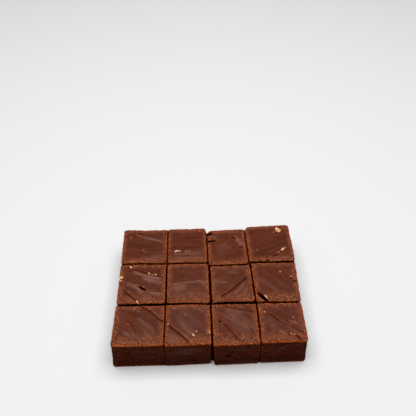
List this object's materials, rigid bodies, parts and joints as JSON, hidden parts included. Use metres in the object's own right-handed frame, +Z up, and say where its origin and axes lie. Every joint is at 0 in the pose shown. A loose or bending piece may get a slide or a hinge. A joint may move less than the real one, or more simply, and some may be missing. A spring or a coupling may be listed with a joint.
{
  "type": "chocolate fudge",
  "caption": "Slab of dark chocolate fudge with a spread top, cut into uneven squares that still lie together in rows.",
  "frame": {"origin": "middle of the slab's underside", "axes": "+Z up, +X to the right along the four columns, +Y towards the back row"},
  "size_m": [0.1369, 0.1109, 0.0264],
  "materials": {
    "chocolate_fudge": "satin on top, dull and crumbly at the cuts"
  },
  "bodies": {
    "root": {"square_back_1": "chocolate_fudge", "square_back_2": "chocolate_fudge", "square_back_3": "chocolate_fudge", "square_back_4": "chocolate_fudge", "square_middle_1": "chocolate_fudge", "square_middle_2": "chocolate_fudge", "square_middle_3": "chocolate_fudge", "square_middle_4": "chocolate_fudge", "square_front_1": "chocolate_fudge", "square_front_2": "chocolate_fudge", "square_front_3": "chocolate_fudge", "square_front_4": "chocolate_fudge"}
  },
  "joints": []
}
